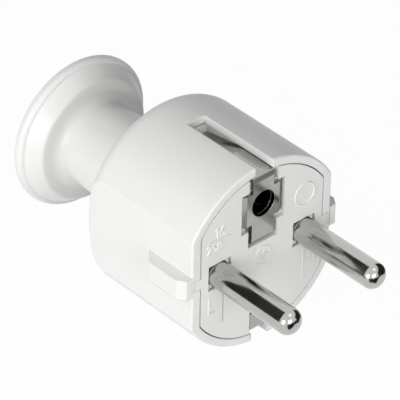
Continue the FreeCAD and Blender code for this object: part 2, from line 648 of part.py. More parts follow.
def make_terminal_screw(side):
    """The screw that presses the conductor in one terminal block."""
    seat = TERMINAL_HALF_HEIGHT + PART_GAP
    return slotted_screw_up(TERMINAL_SCREW_RADIUS, TERMINAL_HEAD_RADIUS, side * PIN_HALF_SPACING, WIRE_DEPTH,
                            (WIRE_RADIUS, seat, seat + TERMINAL_HEAD_HEIGHT))


def make_earth_post():
    """The threaded post riveted to the middle of the earth bracket."""
    body = rod(POST_RADIUS, (POST_FRONT, POST_REAR), 0, POST_HEIGHT)
    hole_front = POST_REAR + WASHER_THICKNESS - EARTH_SCREW_LENGTH - HOLE_PAST_TIP
    return body.cut(rod(EARTH_SCREW_RADIUS + THREAD_GAP, (hole_front, POST_REAR + BEYOND), 0, POST_HEIGHT))


def make_earth_washer():
    """The square washer that presses the earth conductor on the post."""
    rear = POST_REAR + WASHER_THICKNESS
    body = box(around(0, WASHER_HALF), (POST_REAR, rear), around(POST_HEIGHT, WASHER_HALF))
    corners = edges_where(body, lambda b: b.YLength > WASHER_THICKNESS / 2 and b.XLength < WASHER_HALF
                          and b.ZLength < WASHER_HALF)
    body = body.makeFillet(WASHER_THICKNESS, corners)
    bore = rod(EARTH_SCREW_RADIUS + THREAD_GAP, (POST_REAR - BEYOND, rear + BEYOND), 0, POST_HEIGHT)
    return body.cut(bore)


def make_earth_screw():
    """The pan head screw of the earth terminal, with a cross slot."""
    seat = POST_REAR + WASHER_THICKNESS
    top = seat + EARTH_HEAD_HEIGHT
    shank = rod(EARTH_SCREW_RADIUS, (seat - EARTH_SCREW_LENGTH, seat), 0, POST_HEIGHT)
    head = rod(EARTH_HEAD_RADIUS, (seat, top), 0, POST_HEIGHT)
    head = head.makeFillet(EARTH_HEAD_HEIGHT / 3, edges_where(head, lambda b: is_at(b.YMin, top)))
    arm = EARTH_HEAD_RADIUS * 2 / 3
    slot = (top - 1.5 * SLOT_DEPTH, top + BEYOND)
    cross = []
    for wide, high in ((arm, SLOT_HALF), (SLOT_HALF, arm)):
        cross.append(box(around(0, wide), slot, around(POST_HEIGHT, high)))
    return shank.fuse(head).cut(cross).removeSplitter()


def make_back_plate():
    """The insulating plate behind the terminals, moulded in one with the saddle of the cord clamp."""
    plate = flatted(PLATE_RADIUS, PLATE_FLAT, (PLATE_FRONT, PLATE_REAR))
    saddle = box(around(0, SADDLE_HALF_WIDTH), (PLATE_FRONT, SADDLE_REAR), (SADDLE_LOW, SADDLE_HIGH))
    through = (PLATE_FRONT - BEYOND, PLATE_REAR + BEYOND)
    cuts = [
        rod(CORD_RADIUS, (PLATE_FRONT - BEYOND, SADDLE_REAR + BEYOND)),
        box(around(0, CORD_RADIUS), (PLATE_REAR, SADDLE_REAR + BEYOND), (0, SADDLE_HIGH + BEYOND)),
        rod(BOSS_RADIUS + RECESS_GAP, through, 0, EARTH_HOLE_HEIGHT),
    ]
    for side in (-1, 1):
        cuts.append(box(around(0, STRIP_RIB_HALF_WIDTH + RECESS_GAP), through,
                        sided(side, (STRIP_RIB_INNER - RECESS_GAP, PLATE_RADIUS + BEYOND))))
        cuts.append(rod(PLATE_SCREW_RADIUS + THREAD_GAP, through, side * PLATE_SCREW_X, PLATE_SCREW_Z))
        cuts.append(rod(PLATE_HEAD_RADIUS + TERMINAL_GAP, (PLATE_REAR, SADDLE_REAR + BEYOND),
                        side * PLATE_SCREW_X, PLATE_SCREW_Z))
        cuts.append(post(CLAMP_SCREW_RADIUS + THREAD_GAP,
                         (SADDLE_HIGH - CLAMP_SCREW_GRIP - HOLE_PAST_TIP, SADDLE_HIGH + BEYOND),
                         side * CLAMP_SCREW_X, BAR_MIDDLE))
    return plate.fuse(saddle).cut(cuts).removeSplitter()


def make_plate_screws():
    """The two screws that hold the back plate on the carrier."""
    screws = []
    for side in (-1, 1):
        x = side * PLATE_SCREW_X
        top = PLATE_REAR + PLATE_HEAD_HEIGHT
        shank = rod(PLATE_SCREW_RADIUS, (CARRIER_LENGTH - PLATE_SCREW_GRIP, PLATE_REAR), x, PLATE_SCREW_Z)
        head = rod(PLATE_HEAD_RADIUS, (PLATE_REAR, top), x, PLATE_SCREW_Z)
        slot = box(around(x, PLATE_HEAD_RADIUS), (top - SLOT_DEPTH, top + BEYOND),
                   around(PLATE_SCREW_Z, SLOT_HALF))
        screws.append(shank.fuse(head).cut(slot).removeSplitter())
    return Part.makeCompound(screws)


def make_clamp_bar():
    """The bar that presses the cord into the saddle."""
    bar = box(around(0, SADDLE_HALF_WIDTH), (BAR_FRONT, SADDLE_REAR), (SADDLE_HIGH, BAR_HIGH))
    upright = edges_where(bar, lambda b: b.ZLength > BAR_THICKNESS / 2 and b.XLength < BAR_LENGTH / 2
                          and b.YLength < BAR_LENGTH / 2)
    bar = bar.makeFillet(BAR_LENGTH / 3, upright)
    cuts = [rod(CORD_RADIUS, (BAR_FRONT - BEYOND, SADDLE_REAR + BEYOND))]
    for side in (-1, 1):
        cuts.append(post(CLAMP_SCREW_RADIUS + THREAD_GAP, (SADDLE_HIGH - BEYOND, BAR_HIGH + BEYOND),
                         side * CLAMP_SCREW_X, BAR_MIDDLE))
    return bar.cut(cuts)


def make_clamp_screws():
    """The two screws of the cord clamp."""
    heights = (SADDLE_HIGH - CLAMP_SCREW_GRIP, BAR_HIGH, BAR_HIGH + CLAMP_HEAD_HEIGHT)
    screws = []
    for side in (-1, 1):
        x = side * CLAMP_SCREW_X
        screws.append(slotted_screw_up(CLAMP_SCREW_RADIUS, CLAMP_HEAD_RADIUS, x, BAR_MIDDLE, heights))
    return Part.makeCompound(screws)


def make_knob():
    """The pull knob: hollow neck, stepped collar and gripping disc, with a spigot into the cover."""
    fillet_centre = (COLLAR_INNER, COLLAR_FACE - COLLAR_FILLET)
    front_centre = (DISC_RADIUS - DISC_FRONT_ROUND, SKIRT_REAR + DISC_FRONT_ROUND)
    rear_centre = (DISC_RADIUS - DISC_REAR_ROUND, DISC_REAR - DISC_REAR_ROUND)
    ring_seat = RING_FRONT - PART_GAP
    counterbore = GROMMET_FRONT - PART_GAP
    return turned([
        (KNOB_BORE, SPIGOT_FRONT),
        (SPIGOT_RADIUS, SPIGOT_FRONT),
        (SPIGOT_RADIUS, ring_seat),
        (RING_SEAT_RADIUS, ring_seat),
        (RING_SEAT_RADIUS, HOLLOW_REAR),
        (SPIGOT_RADIUS, HOLLOW_REAR),
        (SPIGOT_RADIUS, COVER_LENGTH),
        (NECK_RADIUS, COVER_LENGTH),
        (NECK_RADIUS, fillet_centre[1]),
        (COLLAR_INNER, COLLAR_FACE) + on_round(fillet_centre, COLLAR_FILLET, 135),
        (COLLAR_RADIUS, COLLAR_FACE),
        (SKIRT_RADIUS, SKIRT_REAR),
        (front_centre[0], SKIRT_REAR),
        (DISC_RADIUS, front_centre[1]) + on_round(front_centre, DISC_FRONT_ROUND, -45),
        (DISC_RADIUS, rear_centre[1]),
        (rear_centre[0], DISC_REAR) + on_round(rear_centre, DISC_REAR_ROUND, 45),
        (GROMMET_RADIUS + PART_GAP, DISC_REAR),
        (GROMMET_RADIUS + PART_GAP, counterbore),
        (KNOB_BORE, counterbore),
    ])


def make_lock_ring():
    """The open spring ring that keeps the knob in the cover."""
    through = (RING_FRONT - BEYOND, HOLLOW_REAR + BEYOND)
    ring = rod(RING_RADIUS, (RING_FRONT, HOLLOW_REAR))
    opening = box(around(0, RING_OPENING_HALF), through, (-RING_RADIUS, 0))
    return ring.cut([rod(RING_INNER, through), opening])


def make_grommet():
    """The rubber bush in the cord outlet, with a rounded lip."""
    lip_centre = (GROMMET_LIP_RADIUS - GROMMET_LIP / 2, DISC_REAR + GROMMET_LIP / 2)
    lip_rear = DISC_REAR + GROMMET_LIP
    return turned([
        (GROMMET_BORE, GROMMET_FRONT),
        (GROMMET_RADIUS, GROMMET_FRONT),
        (GROMMET_RADIUS, DISC_REAR),
        (GROMMET_LIP_RADIUS, DISC_REAR),
        (GROMMET_LIP_RADIUS, lip_centre[1]),
        (lip_centre[0], lip_rear) + on_round(lip_centre, GROMMET_LIP / 2, 45),
        (GROMMET_BORE, lip_rear),
    ])


PIECES = {
    "cover_shell": make_cover,
    "pin_carrier": make_carrier,
    "earth_bracket": make_bracket,
    "earth_sleeve": make_sleeve,
    "live_pin": lambda: make_pin(-1),
    "neutral_pin": lambda: make_pin(1),
    "live_terminal": lambda: make_terminal(-1),
    "neutral_terminal": lambda: make_terminal(1),
    "live_terminal_screw": lambda: make_terminal_screw(-1),
    "neutral_terminal_screw": lambda: make_terminal_screw(1),
    "earth_post": make_earth_post,
    "earth_washer": make_earth_washer,
    "earth_screw": make_earth_screw,
    "back_plate": make_back_plate,
    "back_plate_screws": make_plate_screws,
    "cord_clamp_bar": make_clamp_bar,
    "cord_clamp_screws": make_clamp_screws,
    "pull_knob": make_knob,
    "knob_lock_ring": make_lock_ring,
    "cord_grommet": make_grommet,
}


def main():
    """Writes every piece as its own STEP file."""
    os.makedirs("parts", exist_ok=True)
    for name, make in PIECES.items():
        shape = make()
        shape.exportStep("parts/" + name + ".step")
        limits = shape.BoundBox
        size = (limits.XLength, limits.YLength, limits.ZLength)
        print(name, "valid", shape.isValid(), "solids", len(shape.Solids), "volume", round(shape.Volume, 1),
              "size", [round(length, 2) for length in size])


main()
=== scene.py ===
"""Dresses the mains plug: fine turned surfaces, finishes, face markings, studio light and camera.

Sizes are written in millimetres unless a field says otherwise, and the scene itself is in metres.
Both use the plug's own frame: the origin is the middle of the engagement face, the pins point along
-Y, +X is the right of the face and +Z runs up to the earth hole.
"""
import logging
import math
from dataclasses import dataclass, field
from enum import Enum
from typing import Dict, List, Tuple, Union

import bmesh
import bpy
import numpy as np
from mathutils import Matrix, Vector


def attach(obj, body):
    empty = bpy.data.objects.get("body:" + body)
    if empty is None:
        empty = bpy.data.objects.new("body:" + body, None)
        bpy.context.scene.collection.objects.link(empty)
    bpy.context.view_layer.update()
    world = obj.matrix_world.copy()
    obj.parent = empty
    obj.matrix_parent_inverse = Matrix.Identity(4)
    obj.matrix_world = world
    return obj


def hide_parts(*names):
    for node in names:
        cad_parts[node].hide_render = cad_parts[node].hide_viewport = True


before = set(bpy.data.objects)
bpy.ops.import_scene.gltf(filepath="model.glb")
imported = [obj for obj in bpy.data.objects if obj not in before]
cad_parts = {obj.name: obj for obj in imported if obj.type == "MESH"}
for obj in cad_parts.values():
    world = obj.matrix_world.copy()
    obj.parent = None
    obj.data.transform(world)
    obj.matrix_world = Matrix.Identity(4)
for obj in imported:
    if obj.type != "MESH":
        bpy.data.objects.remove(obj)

LOG = logging.getLogger("plug")
MM = 0.001
KNOB_STEPS = 160
PIN_STEPS = 96
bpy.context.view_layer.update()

Vector3 = Tuple[float, float, float]
Colour = Tuple[float, float, float]
Point2 = Tuple[float, float]
SocketKey = Union[str, int]


class Reading:
    """A shader socket that takes part in Python arithmetic. Each operator adds one Math node."""

    def __init__(self, graph: "Graph", socket: bpy.types.NodeSocket) -> None:
        """Wraps a socket.

        Args:
            graph: The node graph that the socket belongs to.
            socket: The output socket.
        """
        self.graph = graph
        self.socket = socket

    def __add__(self, other: "Operand") -> "Reading":
        """This value plus another."""
        return self.graph.math("ADD", self, other)

    def __radd__(self, other: "Operand") -> "Reading":
        """Another value plus this one."""
        return self.graph.math("ADD", other, self)

    def __sub__(self, other: "Operand") -> "Reading":
        """This value minus another."""
        return self.graph.math("SUBTRACT", self, other)

    def __rsub__(self, other: "Operand") -> "Reading":
        """Another value minus this one."""
        return self.graph.math("SUBTRACT", other, self)

    def __mul__(self, other: "Operand") -> "Reading":
        """This value times another."""
        return self.graph.math("MULTIPLY", self, other)

    def __rmul__(self, other: "Operand") -> "Reading":
        """Another value times this one."""
        return self.graph.math("MULTIPLY", other, self)

    def clamped(self) -> "Reading":
        """This value held between 0 and 1."""
        return self.graph.add("ShaderNodeClamp", {}, {"Value": self})

    def ramp(self, low: float, high: float) -> "Reading":
        """A smooth step of this value.

        Args:
            low: The value that gives 0.
            high: The value that gives 1.

        Returns:
            The step, held between 0 and 1.
        """
        return self.graph.add("ShaderNodeMapRange", {"interpolation_type": "SMOOTHSTEP"},
                              {"Value": self, "From Min": low, "From Max": high})


Operand = Union[Reading, float]


class Graph:
    """A node tree with one method that adds any node."""

    def __init__(self, tree: bpy.types.NodeTree) -> None:
        """Starts from an empty tree.

        Args:
            tree: The tree of a material or a world.
        """
        self.tree = tree
        tree.nodes.clear()

    def add(self, kind: str, settings: Dict[str, object], inputs: Dict[SocketKey, object],
            output: SocketKey = 0) -> Reading:
        """Adds a node.

        Args:
            kind: The node's type.
            settings: The node's own settings, set first.
            inputs: Values or readings for the sockets, by name or number.
            output: The name or number of the output that is wanted.

        Returns:
            The wanted output.
        """
        node = self.tree.nodes.new(kind)
        for name, value in settings.items():
            setattr(node, name, value)
        for name, value in inputs.items():
            if isinstance(value, Reading):
                self.tree.links.new(value.socket, node.inputs[name])
            else:
                node.inputs[name].default_value = value
        return Reading(self, node.outputs[output] if len(node.outputs) else None)

    def feed(self, shader: bpy.types.Node, name: str, value: Reading) -> None:
        """Links a reading to one of a shader's sockets."""
        self.tree.links.new(value.socket, shader.inputs[name])

    def math(self, operation: str, *values: Operand) -> Reading:
        """Adds a Math node.

        Args:
            operation: The name of the operation.
            *values: Its operands in order.

        Returns:
            The result.
        """
        return self.add("ShaderNodeMath", {"operation": operation}, dict(enumerate(values)))

    def place(self, scale: Vector3 = (1.0, 1.0, 1.0)) -> Reading:
        """Object coordinates in millimetres.

        Args:
            scale: A stretch of each axis, for grain that runs one way.

        Returns:
            The coordinates as a vector.
        """
        where = self.add("ShaderNodeTexCoord", {}, {}, "Object")
        factor = tuple(1.0 / MM * stretch for stretch in scale)
        return self.add("ShaderNodeMapping", {}, {"Vector": where, "Scale": factor})

    def noise(self, where: Reading, size: float, detail: float) -> Reading:
        """Smooth noise from 0 to 1.

        Args:
            where: Coordinates in millimetres.
            size: The size of the grain in millimetres.
            detail: How many finer layers it has.

        Returns:
            The noise.
        """
        inputs = {"Vector": where, "Scale": 1.0 / size, "Detail": detail}
        return self.add("ShaderNodeTexNoise", {}, inputs, "Fac")

    def axis(self, where: Reading, name: str) -> Reading:
        """One coordinate of a vector."""
        return self.add("ShaderNodeSeparateXYZ", {}, {"Vector": where}, name)

    def mix(self, factor: Operand, first: Colour, second: Colour) -> Reading:
        """A colour between two colours.

        The Mix node has sockets of one name for each data type, so the colour sockets are given by
        number.

        Args:
            factor: 0 for the first colour and 1 for the second.
            first: A colour.
            second: Another colour.

        Returns:
            The mixed colour.
        """
        inputs = {0: factor, 6: (*first, 1.0), 7: (*second, 1.0)}
        return self.add("ShaderNodeMix", {"data_type": "RGBA"}, inputs, 2)

    def shade(self, colour: Reading, factor: Operand) -> Reading:
        """A colour made darker by a factor from 0 to 1."""
        inputs = {0: colour, "Scale": factor}
        return self.add("ShaderNodeVectorMath", {"operation": "SCALE"}, inputs)

    def bump(self, height: Reading, depth: float, edge: float) -> Reading:
        """A normal from a height, with the edges of the solid softened.

        Args:
            height: The height, where 1 stands for the full depth.
            depth: The full depth in millimetres.
            edge: The radius in millimetres that sharp edges get. 0 leaves them sharp.

        Returns:
            The normal.
        """
        inputs: Dict[SocketKey, object] = {"Height": height, "Strength": 1.0,
                                           "Distance": depth * MM}
        if edge > 0:
            inputs["Normal"] = self.add("ShaderNodeBevel", {"samples": 6}, {"Radius": edge * MM})
        return self.add("ShaderNodeBump", {}, inputs)


def grey(tone: float) -> Tuple[float, float, float, float]:
    """An opaque grey."""
    return (tone, tone, tone, 1.0)


def blank(name: str) -> Tuple[bpy.types.Material, Graph]:
    """A material with an empty graph.

    Args:
        name: The material's name.

    Returns:
        The material and its graph.
    """
    material = bpy.data.materials.new(name)
    material.use_nodes = True
    return material, Graph(material.node_tree)


def shaded(name: str, constants: Dict[str, object]
           ) -> Tuple[bpy.types.Material, Graph, bpy.types.Node]:
    """A material with its shader and nothing that feeds it.

    Args:
        name: The material's name.
        constants: Values that are the same all over the surface, by socket.

    Returns:
        The material, its graph and its shader node.
    """
    material, graph = blank(name)
    shader = graph.add("ShaderNodeBsdfPrincipled", {}, constants)
    graph.add("ShaderNodeOutputMaterial", {}, {"Surface": shader})
    return material, graph, shader.socket.node


@dataclass(frozen=True)
class MouldedPlastic:
    """Moulded plastic: a fine eroded grain, slow sink waves, faint clouding and hairline scuffs.

    Attributes:
        name: The finish's name.
        colour: The plain colour.
        roughness: The plain roughness.
        grain: The depth of the grain, in millimetres as the later sizes are.
        edge: The radius of its edges.
        gloss: How strong the clear reflection is.
        darkest: What the colour is multiplied by in its darkest clouds.
        cloud_size: The size of the clouds.
        grain_size: The size of the grain.
        wave_size: The size of the sink waves.
        speck_size: The size of the specks.
        scuff_size: The size of the scuffs before they are stretched.
        scuff_stretch: How the scuffs are stretched along each axis. A small number makes long
            marks.
    """

    name: str
    colour: Colour
    roughness: float
    grain: float
    edge: float
    gloss: float = 0.5
    darkest: Colour = (0.955, 0.955, 0.95)
    cloud_size: float = 7.0
    grain_size: float = 0.22
    wave_size: float = 5.0
    speck_size: float = 0.6
    scuff_size: float = 0.5
    scuff_stretch: Vector3 = (0.25, 2.2, 0.9)

    def make(self) -> bpy.types.Material:
        """Builds the material.

        Returns:
            The finished material.
        """
        constants = {"Specular IOR Level": self.gloss, "IOR": 1.5}
        material, graph, shader = shaded(self.name, constants)
        here = graph.place()
        clouds = graph.noise(here, self.cloud_size, 3.0)
        fine = graph.noise(here, self.grain_size, 3.0)
        waves = graph.noise(here, self.wave_size, 1.0)
        scuffs = graph.noise(graph.place(self.scuff_stretch), self.scuff_size, 4.0).ramp(0.62, 0.78)
        specks = graph.noise(here, self.speck_size, 1.0).ramp(0.80, 0.86)
        red, green, blue = (light * dark for light, dark in zip(self.colour, self.darkest))
        dulled = (0.8 * clouds + 0.25 * fine + 0.3 * specks).clamped()
        graph.feed(shader, "Base Color", graph.mix(dulled, self.colour, (red, green, blue)))
        rough = (self.roughness - 0.04) + 0.07 * clouds + 0.10 * scuffs
        graph.feed(shader, "Roughness", rough.clamped())
        height = 0.35 * fine + 0.65 * waves
        graph.feed(shader, "Normal", graph.bump(height, self.grain, self.edge))
        return material


@dataclass(frozen=True)
class PlatedMetal:
    """Plated metal: the drawn or brushed grain runs one way, with tarnish clouds and rub marks.

    Attributes:
        name: The finish's name.
        colour: The colour of clean plating.
        tarnish: The colour where it has dulled.
        roughness: The plain roughness.
        stretch: How the grain is stretched along each axis. A small number makes long marks.
        grain: The depth of the grain, in millimetres as the later sizes are.
        edge: The radius of its edges.
        crease: The height of the bend line, where the roughness rises for the bend's wear and the
            colour is darkened as painted shade for the dark reflection there. 0 leaves it out.
        fold: The distance from the middle plane where the sheet's edges fold back more steeply than
            their flat bevel does. 0 leaves it out.
        grain_size: The size of the grain before it is stretched.
        cloud_size: The size of the tarnish clouds.
        rub_size: The size of the rub marks before they are stretched.
        rub_stretch: How the rub marks are stretched along each axis.
    """

    name: str
    colour: Colour
    tarnish: Colour
    roughness: float
    stretch: Vector3
    grain: float
    edge: float
    crease: float = 0.0
    fold: float = 0.0
    grain_size: float = 0.25
    cloud_size: float = 3.0
    rub_size: float = 0.4
    rub_stretch: Vector3 = (1.4, 0.3, 0.5)

    def make(self) -> bpy.types.Material:
        """Builds the material.

        Returns:
            The finished material.
        """
        material, graph, shader = shaded(self.name, {"Metallic": 1.0})
        here = graph.place()
        lines = graph.noise(graph.place(self.stretch), self.grain_size, 3.0)
        clouds = graph.noise(here, self.cloud_size, 3.0)
        rubs = graph.noise(graph.place(self.rub_stretch), self.rub_size, 4.0).ramp(0.6, 0.75)
        dulled = (0.7 * clouds + 0.25 * lines - 0.15).clamped()
        tone = graph.mix(dulled, self.colour, self.tarnish)
        rough = (self.roughness - 0.06) + 0.10 * lines + 0.06 * clouds + 0.08 * rubs
        if self.crease:
            away = graph.math("ABSOLUTE", graph.axis(here, "Z") - self.crease + 0.1 * clouds)
            bend_wear_and_shade = 1.0 - away.ramp(0.2, 0.6)
            # Painted shade: the colour is darkened by a fifth along the bend line in place of the
            # dark reflection there, and the rougher band is the bend's wear.
            tone = graph.shade(tone, 1.0 - 0.2 * bend_wear_and_shade)
            rough = rough + 0.32 * bend_wear_and_shade
        graph.feed(shader, "Base Color", tone)
        graph.feed(shader, "Roughness", rough.clamped())
        height = self.grain * lines
        if self.fold:
            beyond = graph.math("ABSOLUTE", graph.axis(here, "X")) - self.fold
            height = height - 0.25 * graph.math("MAXIMUM", beyond, 0.0)
        graph.feed(shader, "Normal", graph.bump(height, 1.0, self.edge))
        return material


class Finish(Enum):
    """The finishes of the plug. Each finish has the name of its slot in the record."""

    COVER = MouldedPlastic("cover_white", (0.80, 0.80, 0.79), 0.36, 0.010, 0.28)
    KNOB = MouldedPlastic("knob_white", (0.81, 0.81, 0.80), 0.34, 0.004, 0.15, 0.6)
    CARRIER = MouldedPlastic("carrier_white", (0.79, 0.79, 0.78), 0.38, 0.010, 0.12)
    INNER = MouldedPlastic("inner_grey", (0.20, 0.20, 0.21), 0.45, 0.015, 0.12)
    RUBBER = MouldedPlastic("grommet_rubber", (0.70, 0.70, 0.69), 0.62, 0.020, 0.10, 0.3)
    PIN = PlatedMetal("pin_nickel", (0.53, 0.525, 0.51), (0.44, 0.435, 0.42), 0.13,
                      (3.0, 0.25, 3.0), 0.0012, 0.0)
    EARTH = PlatedMetal("earth_nickel", (0.43, 0.425, 0.41), (0.33, 0.325, 0.31), 0.12,
                        (3.0, 3.0, 0.3), 0.002, 0.10, crease=15.2, fold=3.6)
    BRASS = PlatedMetal("brass", (0.72, 0.52, 0.24), (0.46, 0.32, 0.15), 0.30,
                        (2.5, 0.4, 2.5), 0.003, 0.08)
    STEEL = PlatedMetal("screw_steel", (0.58, 0.58, 0.58), (0.44, 0.44, 0.43), 0.30,
                        (2.0, 2.0, 2.0), 0.003, 0.08)


class Wardrobe:
    """Makes each finish once and lends it to the pieces."""

    def __init__(self) -> None:
        """Starts with nothing made."""
        self.made: Dict[Finish, bpy.types.Material] = {}

    def dress(self, piece: bpy.types.Object, finish: Finish) -> None:
        """Puts a finish on a piece.

        Args:
            piece: A CAD node or a new piece.
            finish: The finish it gets.
        """
        if finish not in self.made:
            self.made[finish] = finish.value.make()
        piece.data.materials.clear()
        piece.data.materials.append(self.made[finish])


def placed(name: str, data: bpy.types.ID) -> bpy.types.Object:
    """A new object in the scene.

    Args:
        name: The object's name.
        data: Its mesh, light or camera.

    Returns:
        The object.
    """
    item = bpy.data.objects.new(name, data)
    bpy.context.scene.collection.objects.link(item)
    return item


def cells(number: np.ndarray) -> np.ndarray:
    """The four-cornered faces of a grid, one for each of its cells.

    Args:
        number: The vertices' numbers, of shape (rows, columns).

    Returns:
        Faces of shape (cells, 4).
    """
    corners = [number[:-1, :-1], number[1:, :-1], number[1:, 1:], number[:-1, 1:]]
    return np.stack(corners, axis=-1).reshape(-1, 4)


def surface(name: str, grid: np.ndarray, wrap_rows: bool, sharp: float = 30.0) -> bpy.types.Object:
    """Makes a closed surface from a grid of points whose last column joins the first.

    Each cell of the grid becomes a face. Rows that shrink to a point are merged to one vertex, and
    the faces are turned outwards by the sign of the volume that they enclose: the sum of
    a . (b x c + c x d) over the faces with the corners a, b, c and d.

    Args:
        name: The piece's name.
        grid: Points of shape (rows, columns, 3), in metres.
        wrap_rows: Whether the last row joins the first too.
        sharp: The angle in degrees from which an edge stays sharp.

    Returns:
        The new piece, riding on the plug.
    """
    rows, columns = grid.shape[:2]
    number = np.arange(rows * columns).reshape(rows, columns)
    if wrap_rows:
        number = np.vstack([number, number[:1]])
    faces = cells(np.hstack([number, number[:, :1]]))
    points = grid.reshape(-1, 3)
    a, b, c, d = (points[faces[:, corner]] for corner in range(4))
    if (a * (np.cross(b, c) + np.cross(c, d))).sum() < 0:
        faces = faces[:, ::-1]
    mesh = bpy.data.meshes.new(name)
    mesh.from_pydata(points.tolist(), [], faces.tolist())
    shell = bmesh.new()
    shell.from_mesh(mesh)
    bmesh.ops.remove_doubles(shell, verts=shell.verts, dist=1e-7)
    bmesh.ops.dissolve_degenerate(shell, edges=shell.edges, dist=1e-8)
    shell.to_mesh(mesh)
    shell.free()
    mesh.polygons.foreach_set("use_smooth", np.ones(len(mesh.polygons), dtype=bool))
    mesh.set_sharp_from_angle(angle=math.radians(sharp))
    piece = placed(name, mesh)
    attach(piece, "root")
    return piece


def arc(centre: Point2, radius: float, start: float, end: float, steps: int) -> np.ndarray:
    """Points on an arc: the centre plus the radius times (cosine, sine) of an even angle.

    Args:
        centre: The centre.
        radius: The radius.
        start: The first angle in degrees.
        end: The last angle in degrees.
        steps: The number of points.

    Returns:
        Points of shape (steps, 2).
    """
    angle = np.radians(np.linspace(start, end, steps))
    return np.array(centre) + radius * np.stack([np.cos(angle), np.sin(angle)], axis=-1)


def oval(centre: Point2, radii: Point2, start: float, end: float, steps: int) -> np.ndarray:
    """Points on an upright ellipse: the centre plus an arc of radius 1 times the two radii.

    Args:
        centre: The centre.
        radii: The radii across and upwards.
        start: The first angle of the arc in degrees.
        end: Its last angle in degrees.
        steps: The number of points.

    Returns:
        Points of shape (steps, 2).
    """
    return np.array(centre) + arc((0.0, 0.0), 1.0, start, end, steps) * np.array(radii)


def line(*corners: Point2) -> np.ndarray:
    """The corners of a straight run as points of shape (n, 2)."""
    return np.array(corners, dtype=float)


def densified(path: np.ndarray, step: float) -> np.ndarray:
    """The path with points at even distances along it.

    The distance along the path is summed from corner to corner, and each new point is read off by
    straight interpolation at even shares of the whole.

    Args:
        path: Points of shape (n, 2).
        step: The wanted distance between points.

    Returns:
        Points of shape (m, 2), at least four.
    """
    reach = np.concatenate([[0.0], np.cumsum(np.linalg.norm(np.diff(path, axis=0), axis=1))])
    count = max(int(math.ceil(reach[-1] / step)) + 1, 4)
    at = np.linspace(0.0, reach[-1], count)
    return np.stack([np.interp(at, reach, path[:, 0]), np.interp(at, reach, path[:, 1])], axis=-1)


def full_turn(steps: int) -> np.ndarray:
    """Even angles once round, in radians."""
    return np.linspace(0.0, 2.0 * np.pi, steps, endpoint=False)


def turned(reach: np.ndarray, along: np.ndarray, angle: np.ndarray, x: float = 0.0) -> np.ndarray:
    """Rings about an axis along Y: the points (x + reach * cosine, along, reach * sine).

    Args:
        reach: The distance from the axis, of shape (rings, 1) or (rings, angles), in millimetres.
        along: Where each ring lies on the axis, of shape (rings, 1), in millimetres.
        angle: The angles in radians.
        x: Where the axis lies, in millimetres.

    Returns:
        The grid of points in metres.
    """
    across = x + reach * np.cos(angle)
    rings = [across, np.broadcast_to(along, across.shape), reach * np.sin(angle)]
    return np.stack(rings, axis=-1) * MM


def lathe(name: str, outline: np.ndarray) -> bpy.types.Object:
    """Turns a closed outline of points (radius, y) in millimetres about the plug's Y axis."""
    grid = turned(outline[:, :1], outline[:, 1:], full_turn(KNOB_STEPS))
    return surface(name, grid, True)


